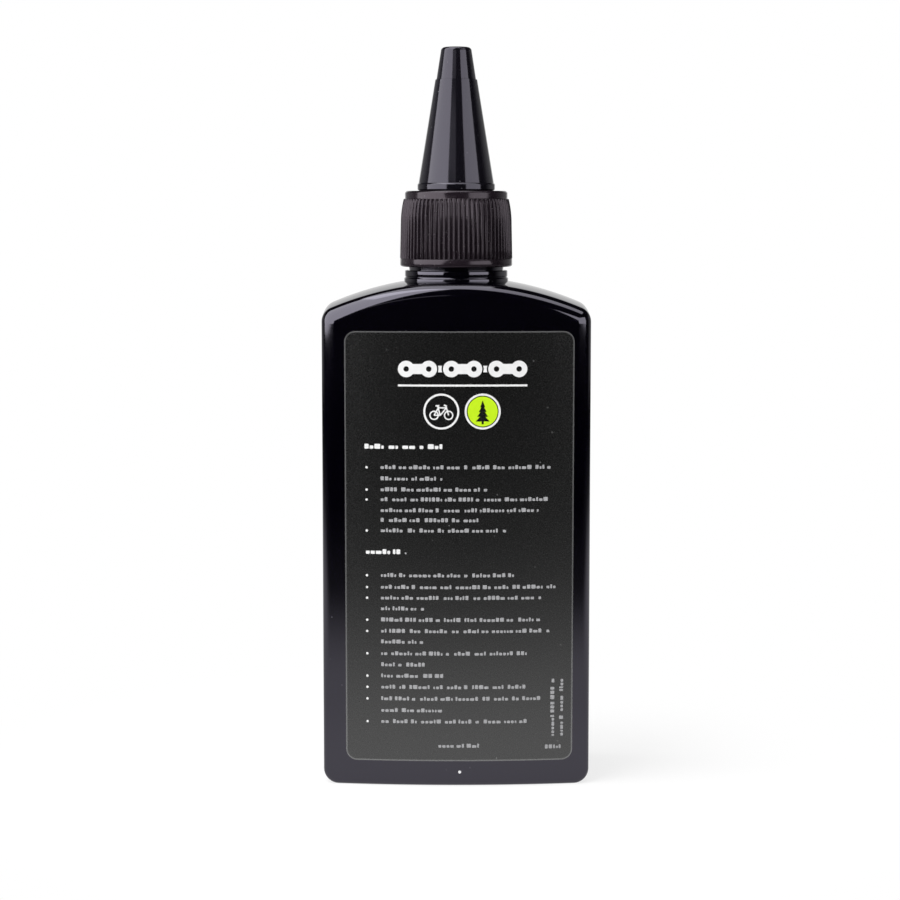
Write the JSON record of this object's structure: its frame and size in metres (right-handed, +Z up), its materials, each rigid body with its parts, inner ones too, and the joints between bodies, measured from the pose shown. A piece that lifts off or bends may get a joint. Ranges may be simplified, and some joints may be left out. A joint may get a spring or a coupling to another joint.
{
  "type": "chain lube bottle",
  "caption": "Flat oblong squeeze bottle for chain lubricant with a back label, a ribbed screw collar with dropper spout and a tall pull-off cone cap.",
  "frame": {"origin": "centre of the flat standing ring under the bottle's base", "axes": "+Z up along the neck, +X to the right seen from the labelled face, +Y away from the labelled face (the label is on -Y)"},
  "size_m": [0.054, 0.0292, 0.1492],
  "materials": {
    "bottle_plastic": "glossy black, blown",
    "label_film": "satin charcoal film",
    "white_ink": "satin white print",
    "green_ink": "satin lime green print",
    "liner_foam": "white foam",
    "collar_plastic": "satin black, moulded",
    "cap_plastic": "glossy black, moulded"
  },
  "bodies": {
    "bottle_body": {"bottle": "bottle_plastic", "back_label": "label_film", "label_print_white": "white_ink", "label_print_green": "green_ink"},
    "liner_body": {"liner": "liner_foam"},
    "collar_body": {"spout_collar": "collar_plastic"},
    "cap_body": {"cone_cap": "cap_plastic"}
  },
  "joints": [
    {"name": "closure_rise", "type": "slide", "parent": "bottle_body", "child": "liner_body", "axis": [0, 0, 1], "range_m": [0, 0.0144]},
    {"name": "collar_turn", "type": "hinge", "parent": "liner_body", "child": "collar_body", "pos_m": [0, 0, 0.1188], "axis": [0, 0, 1], "range_deg": [0, 1620]},
    {"name": "cap_pull", "type": "slide", "parent": "collar_body", "child": "cap_body", "axis": [0, 0, 1], "range_m": [0, 0.03]}
  ],
  "couplings": [
    {"joint": "closure_rise", "follows": "collar_turn", "m_per_rad": 0.00050532}
  ]
}
